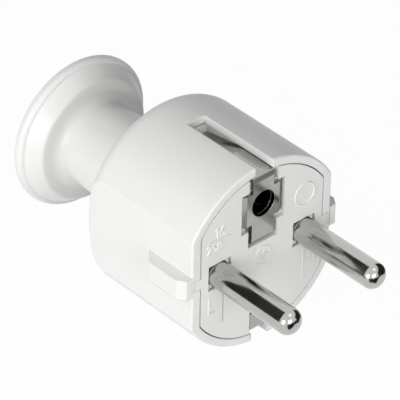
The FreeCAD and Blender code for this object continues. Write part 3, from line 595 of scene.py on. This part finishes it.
@dataclass
class Handle:
    """The pull knob with its grommet, turned as fine surfaces.

    Attributes:
        bore: The radius of the cord's way, in millimetres as all the sizes are.
        spigot: The radius of the part in the cover.
        spigot_front: Where the spigot starts.
        ring_seat: The radius under the lock ring.
        ring_span: Where the ring's groove starts and ends.
        cover_rear: Where the neck meets the cover.
        neck: The radius of the neck.
        collar_face: Where the collar's front face lies.
        collar: The inner and outer radius of that face.
        collar_round: The round of the collar's rim, and how far inside the rim its centre lies.
        skirt: The radius and the place of the skirt's rear.
        disc: The radius of the disc.
        disc_rounds: The rounds of the disc's front and rear edge.
        disc_rear: Where the disc ends.
        rim_rear: Where the rim's straight side ends and its rear round begins.
        rim_turn: The angle in degrees at which the rear round goes over into the dome.
        dome: The radius from which the disc's rear face falls away to the rim.
        grommet: The bore and the outside radius of the grommet.
        grommet_front: Where the grommet starts.
        lip: The radius and the thickness of the grommet's lip.
        mouth: The round of the grommet's mouth.
        gap: The play between the knob and the grommet.
    """

    bore: float = 4.9
    spigot: float = 6.8
    spigot_front: float = 21.2
    ring_seat: float = 6.0
    ring_span: Point2 = (22.95, 24.0)
    cover_rear: float = 26.2
    neck: float = 7.9
    collar_face: float = 43.3
    collar: Point2 = (10.0, 11.6)
    collar_round: Point2 = (0.7, 0.42)
    skirt: Point2 = (13.4, 46.1)
    disc: float = 14.3
    disc_rounds: Point2 = (0.9, 0.8)
    disc_rear: float = 48.85
    rim_rear: float = 47.35
    rim_turn: float = 60.0
    dome: float = 8.5
    grommet: Point2 = (4.0, 6.4)
    grommet_front: float = 43.55
    lip: Point2 = (7.9, 1.1)
    mouth: float = 0.3
    gap: float = 0.05

    def knob_outline(self) -> np.ndarray:
        """The knob's outline: straight runs and circular arcs.

        A small arc eases every edge that is seen. The disc's rear face falls from its flat middle
        to the rim as the square of the distance.

        Returns:
            Points (radius, y) in millimetres.
        """
        fillet = self.collar[0] - self.neck
        ease, inset = self.collar_round
        front, rear = self.disc_rounds
        skirt_slope = math.degrees(math.atan2(self.skirt[1] - self.collar_face,
                                              self.skirt[0] - self.collar[1]))
        rim = arc((self.disc - rear, self.rim_rear), rear, 0, self.rim_turn, 10)
        share = np.linspace(1.0, 0.0, 14)
        domed = np.stack([self.dome + (rim[-1, 0] - self.dome) * share,
                          self.disc_rear - (self.disc_rear - rim[-1, 1]) * share ** 2], axis=-1)
        seat = self.grommet[1] + self.gap
        seat_front = self.grommet_front - self.gap
        return np.vstack([
            line((self.bore, self.spigot_front), (self.spigot, self.spigot_front),
                 (self.spigot, self.ring_span[0]), (self.ring_seat, self.ring_span[0]),
                 (self.ring_seat, self.ring_span[1]), (self.spigot, self.ring_span[1]),
                 (self.spigot, self.cover_rear), (self.neck, self.cover_rear)),
            arc((self.collar[0], self.collar_face - fillet), fillet, 180, 90, 16),
            arc((self.collar[1] - inset, self.collar_face + ease), ease, -90, skirt_slope - 90, 8),
            line(self.skirt),
            arc((self.disc - front, self.skirt[1] + front), front, -90, 0, 12),
            rim,
            domed[1:],
            line((seat, self.disc_rear), (seat, seat_front), (self.bore, seat_front)),
        ])

    def grommet_outline(self) -> np.ndarray:
        """The grommet's outline: a plain tube with a rounded lip on its rear end.

        Returns:
            Points (radius, y) in millimetres.
        """
        bore, outside = self.grommet
        lip, thick = self.lip
        half = thick / 2
        rear = self.disc_rear + thick
        return np.vstack([
            line((bore, self.grommet_front), (outside, self.grommet_front),
                 (outside, self.disc_rear), (lip, self.disc_rear)),
            arc((lip - half, self.disc_rear + half), half, 0, 90, 12),
            arc((bore + self.mouth, rear - self.mouth), self.mouth, 90, 180, 8),
        ])

    def build(self, wardrobe: Wardrobe) -> List[bpy.types.Object]:
        """Builds and dresses the knob and its grommet.

        Args:
            wardrobe: Where the finishes come from.

        Returns:
            The new pieces.
        """
        knob = lathe("knob_turned", self.knob_outline())
        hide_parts("pull_knob")
        wardrobe.dress(knob, Finish.KNOB)
        grommet = lathe("grommet_turned", self.grommet_outline())
        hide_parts("cord_grommet")
        wardrobe.dress(grommet, Finish.RUBBER)
        return [knob, grommet]


@dataclass
class ContactPin:
    """One contact pin: domed shank, shallow neck, square root and round tail.

    Attributes:
        node: The CAD node that it stands for.
        x: Where its axis lies, in millimetres as all the sizes are.
        radius: The shank's radius.
        length: How far it stands out of the face.
        tip_round: The radius of the tip's rounding.
        neck: The radius of the neck, and where it starts and ends.
        root: Half the width of the square root, and where it ends.
        tail: The radius of the tail, and where it ends.
    """

    node: str
    x: float
    radius: float = 2.4
    length: float = 18.5
    tip_round: float = 1.9
    neck: Vector3 = (2.1, -0.05, 0.3)
    root: Point2 = (2.42, 6.05)
    tail: Point2 = (1.65, 8.1)

    def stations(self) -> np.ndarray:
        """The pin's outline from the tip to the tail.

        The tip is a quarter circle. The third number says how square the section is.

        Returns:
            Rows of (radius, y, squareness).
        """
        neck, neck_front, neck_rear = self.neck
        centre = (self.radius - self.tip_round, self.tip_round - self.length)
        shank = np.vstack([
            line((0.0, -self.length)),
            arc(centre, self.tip_round, -90, 0, 18),
            line((self.radius, neck_front), (neck, neck_front), (neck, neck_rear)),
        ])
        root = line((self.root[0], neck_rear), self.root)
        tail = line((self.tail[0], self.root[1]), self.tail, (0.0, self.tail[1]))
        square = np.repeat([0.0, 1.0, 0.0], [len(shank), len(root), len(tail)])
        return np.column_stack([np.vstack([shank, root, tail]), square])

    def build(self, wardrobe: Wardrobe) -> bpy.types.Object:
        """Builds and dresses the pin.

        A section is a circle where it is round. Where it is square, the radius at an angle is half
        the width over the larger of the angle's |cosine| and |sine|.

        Args:
            wardrobe: Where the finishes come from.

        Returns:
            The new piece.
        """
        rows = self.stations()
        angle = full_turn(PIN_STEPS)
        edge = 1.0 / np.maximum(np.abs(np.cos(angle)), np.abs(np.sin(angle)))
        reach = rows[:, :1] * (1.0 + rows[:, 2:] * (edge - 1.0))
        grid = turned(reach, rows[:, 1:2], angle, self.x)
        pin = surface(self.node + "_turned", grid, False, 35.0)
        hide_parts(self.node)
        wardrobe.dress(pin, Finish.PIN)
        return pin


GLYPHS: Dict[str, List[np.ndarray]] = {
    "0": [oval((0.3, 0.5), (0.27, 0.5), 0, 360, 33)],
    "1": [line((0.06, 0.76), (0.34, 1.0)), line((0.34, 1.0), (0.34, 0.0))],
    "2": [np.vstack([arc((0.3, 0.72), 0.27, 170, -38, 18), line((0.03, 0.0))]),
          line((0.03, 0.0), (0.6, 0.0))],
    "5": [line((0.54, 1.0), (0.12, 1.0)), line((0.12, 1.0), (0.07, 0.58)),
          oval((0.27, 0.32), (0.29, 0.33), 128, -140, 24)],
    "6": [oval((0.5, 0.32), (0.48, 0.68), 88, 180, 14), oval((0.3, 0.3), (0.28, 0.3), 0, 360, 33)],
    "L": [line((0.0, 1.0), (0.0, 0.0)), line((0.0, 0.0), (0.52, 0.0))],
    "N": [line((0.0, 0.0), (0.0, 1.0)), line((0.0, 1.0), (0.6, 0.0)),
          line((0.6, 0.0), (0.6, 1.0))],
}


@dataclass(frozen=True)
class Words:
    """A few glyphs side by side.

    Attributes:
        text: The glyphs, by their names in GLYPHS.
        corner: The place of the lower left corner, in millimetres as the size is.
        size: The width that a glyph of width 1 gets, and the height.
    """

    text: str
    corner: Point2
    size: Point2


@dataclass
class FaceMarkings:
    """The plain numerals, letters, lines and the earth sign that stand up from the face.

    Attributes:
        half_width: Half the width of a stroke, in millimetres as all the sizes are.
        height: How far a stroke stands up.
        step: The distance between the points of a stroke.
        pitch: The distance between glyphs, as a share of the width.
        words: The rating's two lines of numerals and the letters beside the pins.
        bar: The ends of the line over the left pin.
        divider: The ends of the upright line.
        earth_centre: The middle of the earth sign.
        earth_radius: The radius of the earth sign's ring.
        earth_stem: How far the earth sign's stem rises from the middle.
        earth_bars: The height from the middle and half the width of each of the earth sign's bars.
        blank_ring: The centre and radius of the plain ring at the right.
    """

    half_width: float = 0.15
    height: float = 0.20
    step: float = 0.12
    pitch: float = 0.9
    words: Tuple[Words, ...] = (
        Words("16", (-10.65, 7.85), (1.3, 1.8)),
        Words("250", (-12.4, 5.1), (1.3, 1.8)),
        Words("L", (-11.85, -7.2), (2.3, 3.2)),
        Words("N", (11.0, -7.35), (2.3, 3.3)),
    )
    bar: Tuple[Point2, Point2] = ((-12.07, 7.42), (-7.44, 7.24))
    divider: Tuple[Point2, Point2] = ((9.45, -3.6), (9.45, -9.9))
    earth_centre: Point2 = (0.2, -0.65)
    earth_radius: float = 1.75
    earth_stem: float = 1.2
    earth_bars: Tuple[Point2, ...] = ((0.0, 1.0), (-0.45, 0.65), (-0.9, 0.3))
    blank_ring: Tuple[Point2, float] = ((9.4, 7.6), 2.2)

    def strokes(self) -> List[np.ndarray]:
        """Every stroke as a path on the face.

        Returns:
            Paths of points (x, z) in millimetres.
        """
        paths = [line(*self.bar), line(*self.divider)]
        for words in self.words:
            for place, letter in enumerate(words.text):
                shift = np.array(words.corner) + (place * self.pitch * words.size[0], 0.0)
                paths += [shift + path * np.array(words.size) for path in GLYPHS[letter]]
        middle = np.array(self.earth_centre)
        paths.append(arc(self.earth_centre, self.earth_radius, 0, 360, 49))
        paths.append(middle + line((0.0, self.earth_stem), (0.0, 0.0)))
        paths += [middle + line((-half, high), (half, high)) for high, half in self.earth_bars]
        paths.append(arc(*self.blank_ring, 0, 360, 49))
        return paths

    def capped(self, even: np.ndarray) -> Tuple[np.ndarray, np.ndarray]:
        """A path with a rounded cap added at each end.

        In a cap the section shrinks as the square root of 1 - s * s, where s runs from 0 to 1 over
        half a width.

        Args:
            even: Points (x, z) at even distances, in millimetres.

        Returns:
            The longer path, and the size of the section at each of its points.
        """
        share = np.linspace(1.0, 0.0, 5)
        swell = share[:-1, None] * self.half_width
        first, last = even[0] - even[1], even[-1] - even[-2]
        start = even[0] + first / np.linalg.norm(first) * swell
        end = even[-1] + last / np.linalg.norm(last) * swell[::-1]
        size = np.sqrt(1.0 - share[:-1] ** 2)
        return (np.vstack([start, even, end]),
                np.concatenate([size, np.ones(len(even)), size[::-1]]))

    def bead(self, path: np.ndarray) -> Tuple[np.ndarray, bool]:
        """A round bead carried along a path.

        The section is an ellipse across the path, half of it below the face.

        Args:
            path: Points (x, z) in millimetres.

        Returns:
            The grid of points in metres, and whether the path is closed.
        """
        closed = bool(np.allclose(path[0], path[-1]))
        even = densified(path, self.step)
        if closed:
            even = even[:-1]
            ahead = np.roll(even, -1, axis=0) - np.roll(even, 1, axis=0)
            size = np.ones(len(even))
        else:
            even, size = self.capped(even)
            ahead = np.gradient(even, axis=0)
        ahead = ahead / np.linalg.norm(ahead, axis=1, keepdims=True)
        angle = full_turn(10)
        side = self.half_width * size[:, None] * np.cos(angle)
        out = self.height * size[:, None] * np.sin(angle)
        x = even[:, :1] - ahead[:, 1:] * side
        z = even[:, 1:] + ahead[:, :1] * side
        return np.stack([x, -out, z], axis=-1) * MM, closed

    def build(self, wardrobe: Wardrobe) -> bpy.types.Object:
        """Builds and dresses the markings as one piece.

        Args:
            wardrobe: Where the finishes come from.

        Returns:
            The new piece.
        """
        whole = bmesh.new()
        for path in self.strokes():
            grid, closed = self.bead(path)
            stroke = surface("stroke", grid, closed, 60.0)
            whole.from_mesh(stroke.data)
            bpy.data.objects.remove(stroke)
        mesh = bpy.data.meshes.new("face_markings")
        whole.to_mesh(mesh)
        whole.free()
        piece = placed("face_markings", mesh)
        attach(piece, "root")
        wardrobe.dress(piece, Finish.CARRIER)
        return piece


@dataclass
class SolidNodes:
    """The CAD nodes, each with its finish. Those that a new piece replaces have one too."""

    finishes: Dict[str, Finish] = field(default_factory=lambda: {
        "cover_shell": Finish.COVER,
        "pin_carrier": Finish.CARRIER,
        "earth_bracket": Finish.EARTH,
        "earth_sleeve": Finish.EARTH,
        "live_terminal": Finish.BRASS,
        "neutral_terminal": Finish.BRASS,
        "live_terminal_screw": Finish.STEEL,
        "neutral_terminal_screw": Finish.STEEL,
        "earth_post": Finish.BRASS,
        "earth_washer": Finish.STEEL,
        "earth_screw": Finish.STEEL,
        "back_plate": Finish.INNER,
        "back_plate_screws": Finish.STEEL,
        "cord_clamp_bar": Finish.INNER,
        "cord_clamp_screws": Finish.STEEL,
        "knob_lock_ring": Finish.STEEL,
        "pull_knob": Finish.KNOB,
        "cord_grommet": Finish.RUBBER,
        "live_pin": Finish.PIN,
        "neutral_pin": Finish.PIN,
    })

    def dress(self, wardrobe: Wardrobe) -> None:
        """Dresses every CAD node.

        Args:
            wardrobe: Where the finishes come from.
        """
        for name, finish in self.finishes.items():
            wardrobe.dress(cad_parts[name], finish)
            LOG.info("dressed %s with %s", name, finish.value.name)


@dataclass(frozen=True)
class Lamp:
    """A square soft lamp that faces the plug.

    Attributes:
        name: The lamp's name.
        place: Where it hangs, in metres as all its sizes are.
        size: The length of its side.
        power: Its power in watts.
        mirrored: Whether shiny surfaces show it.
        aim: The point that it faces.
    """

    name: str
    place: Vector3
    size: float
    power: float
    mirrored: bool = True
    aim: Vector3 = (0.0, 0.015, 0.0)

    def hang(self) -> None:
        """Hangs the lamp in the scene and turns it to the point that it faces."""
        data = bpy.data.lights.new(self.name, "AREA")
        data.size = self.size
        data.energy = self.power
        lamp = placed(self.name, data)
        lamp.location = self.place
        lamp.visible_glossy = self.mirrored
        way = Vector(self.aim) - Vector(self.place)
        lamp.rotation_euler = way.to_track_quat("-Z", "Y").to_euler()


@dataclass(frozen=True)
class Card:
    """A black card that only mirrors see. It draws the dark streaks on the metal.

    The card is a patch of a ball whose middle lies on the plug's axis. A point on it is the
    distance times (sin a * cos t, cos a, sin a * sin t), where t is the turn about the Y axis and a
    is the angle from that axis. All the points of a pin's side that share a turn mirror one point.

    Attributes:
        name: The card's name.
        turn: The first and last turn about the Y axis in degrees, from +X towards +Z.
        lean: The first and last angle from the +Y axis in degrees.
        far: The distance from the ball's middle in metres.
        back: The place of the ball's middle along Y in metres.
    """

    name: str
    turn: Point2
    lean: Point2
    far: float = 0.8
    back: float = 0.0

    def hang(self, material: bpy.types.Material) -> None:
        """Hangs the card in the scene.

        Args:
            material: The card's material.
        """
        turn = np.radians(np.linspace(*self.turn, 25))
        lean = np.radians(np.linspace(*self.lean, 9))
        t, a = np.meshgrid(turn, lean, indexing="ij")
        ball = [np.sin(a) * np.cos(t), np.cos(a), np.sin(a) * np.sin(t)]
        grid = self.far * np.stack(ball, axis=-1)
        grid[..., 1] += self.back
        faces = cells(np.arange(t.size).reshape(t.shape))
        mesh = bpy.data.meshes.new(self.name)
        mesh.from_pydata(grid.reshape(-1, 3).tolist(), [], faces.tolist())
        mesh.materials.append(material)
        card = placed(self.name, mesh)
        card.visible_camera = False
        card.visible_diffuse = False
        card.visible_shadow = False


@dataclass
class Studio:
    """White sweep, soft lamps and the camera.

    Attributes:
        lens: The camera's focal length in millimetres.
        sensor: The width of its sensor in millimetres.
        clip: The nearest and the farthest distance that it sees, in metres.
        eye: Where the camera stands, in millimetres in the plug's frame.
        right: The camera's right hand direction.
        up: The camera's up direction.
        glow: The light from all round, and how much more of it comes from the left, from the front
            and from below.
        floor_height: How high the floor lies, in millimetres.
        floor_reach: Half the length of the floor's side, in metres.
        floor_tone: The floor's own grey, which the light and the shadow fall on.
        floor_white: How much plain white the eye sees in place of that grey.
        card_tone: The cards' grey.
        lamps: The lamps.
        cards: The cards.
    """

    lens: float = 308.7
    sensor: float = 36.0
    clip: Point2 = (0.01, 50.0)
    eye: Vector3 = (-317.0, -332.4, 340.0)
    right: Vector3 = (0.74601, -0.66578, 0.0142)
    up: Vector3 = (0.37968, 0.44276, 0.81228)
    glow: Tuple[float, float, float, float] = (0.50, 0.43, 0.16, 0.29)
    floor_height: float = -18.02
    floor_reach: float = 4.0
    floor_tone: float = 0.86
    floor_white: float = 0.97
    card_tone: float = 0.03
    lamps: Tuple[Lamp, ...] = (
        Lamp("lamp_left", (-0.56, -0.17, 0.17), 0.26, 1.36),
        Lamp("lamp_front", (-0.14, -0.56, 0.16), 0.22, 1.02),
        Lamp("lamp_top", (0.06, -0.26, 0.56), 0.18, 0.16),
        Lamp("lamp_back", (-0.50, 0.30, 0.50), 0.40, 1.05, mirrored=False),
    )
    cards: Tuple[Card, ...] = (
        Card("card_pins", (93.0, 187.0), (40.0, 66.0)),
        Card("card_tips", (-36.0, 44.0), (70.0, 150.0), 0.060, -0.018),
        Card("card_low", (-178.0, -14.0), (128.0, 172.0), 0.030, -0.018),
    )

    def camera(self) -> None:
        """Sets up the camera."""
        data = bpy.data.cameras.new("studio_camera")
        data.sensor_width = self.sensor
        data.sensor_fit = "HORIZONTAL"
        data.lens = self.lens
        data.clip_start, data.clip_end = self.clip
        right = Vector(self.right).normalized()
        back = right.cross(Vector(self.up)).normalized()
        turn = Matrix((right, back.cross(right), back)).transposed().to_4x4()
        camera = placed("studio_camera", data)
        camera.matrix_world = Matrix.Translation(Vector(self.eye) * MM) @ turn
        bpy.context.scene.camera = camera

    @staticmethod
    def plainly_seen(graph: Graph) -> Reading:
        """1 for a ray that the eye, a mirror or a glass follows, and 0 for one that carries light.

        Args:
            graph: The graph that asks.

        Returns:
            The 1 or 0.
        """
        kinds = ("Is Camera Ray", "Is Glossy Ray", "Is Transmission Ray")
        eye, glossy, through = (graph.add("ShaderNodeLightPath", {}, {}, kind) for kind in kinds)
        return (eye + glossy + through).clamped()

    def world(self) -> None:
        """Lights the scene from all round, and shows plain white to the eye."""
        world = bpy.data.worlds.new("studio_world")
        world.use_nodes = True
        bpy.context.scene.world = world
        graph = Graph(world.node_tree)
        way = graph.add("ShaderNodeTexCoord", {}, {}, "Generated")
        side, depth, high = (graph.axis(way, name) for name in "XYZ")
        level, left, front, below = self.glow
        glow = (level - left * side - front * depth - below * high).clamped()
        seen = self.plainly_seen(graph)
        inputs = {"Color": grey(1.0), "Strength": seen + (1.0 - seen) * glow}
        light = graph.add("ShaderNodeBackground", {}, inputs)
        graph.add("ShaderNodeOutputWorld", {}, {"Surface": light})

    def floor(self) -> None:
        """Lays the floor, white to the eye with the plug's soft shadow on it."""
        far, height = self.floor_reach, self.floor_height * MM
        corners = [(-far, -far, height), (far, -far, height),
                   (far, far, height), (-far, far, height)]
        mesh = bpy.data.meshes.new("studio_floor")
        mesh.from_pydata(corners, [], [(0, 1, 2, 3)])
        floor = placed("studio_floor", mesh)
        material, graph = blank("studio_white")
        plain = graph.add("ShaderNodeBsdfDiffuse", {}, {"Color": grey(self.floor_tone)})
        white = graph.add("ShaderNodeEmission", {}, {"Color": grey(1.0), "Strength": 1.0})
        factor = self.floor_white * self.plainly_seen(graph)
        mixed = graph.add("ShaderNodeMixShader", {}, {0: factor, 1: plain, 2: white})
        graph.add("ShaderNodeOutputMaterial", {}, {"Surface": mixed})
        mesh.materials.append(material)

    def black(self) -> bpy.types.Material:
        """The cards' dull black.

        Returns:
            The material.
        """
        material, graph = blank("studio_black")
        dull = graph.add("ShaderNodeBsdfDiffuse", {}, {"Color": grey(self.card_tone)})
        graph.add("ShaderNodeOutputMaterial", {}, {"Surface": dull})
        return material

    def build(self) -> None:
        """Builds the studio: camera, world, floor, lamps and cards."""
        self.camera()
        self.world()
        self.floor()
        for lamp in self.lamps:
            lamp.hang()
        black = self.black()
        for card in self.cards:
            card.hang(black)
        bpy.context.scene.view_settings.view_transform = "Standard"


def main() -> None:
    """Builds the plug's sub-assemblies in order and reports each piece."""
    logging.basicConfig(level=logging.INFO)
    wardrobe = Wardrobe()
    Studio().build()
    SolidNodes().dress(wardrobe)
    pieces = Handle().build(wardrobe)
    pieces.append(ContactPin("live_pin", -9.5).build(wardrobe))
    pieces.append(ContactPin("neutral_pin", 9.5).build(wardrobe))
    pieces.append(FaceMarkings().build(wardrobe))
    for piece in pieces:
        LOG.info("built %s with %d faces", piece.name, len(piece.data.polygons))


if __name__ == "__main__":
    main()
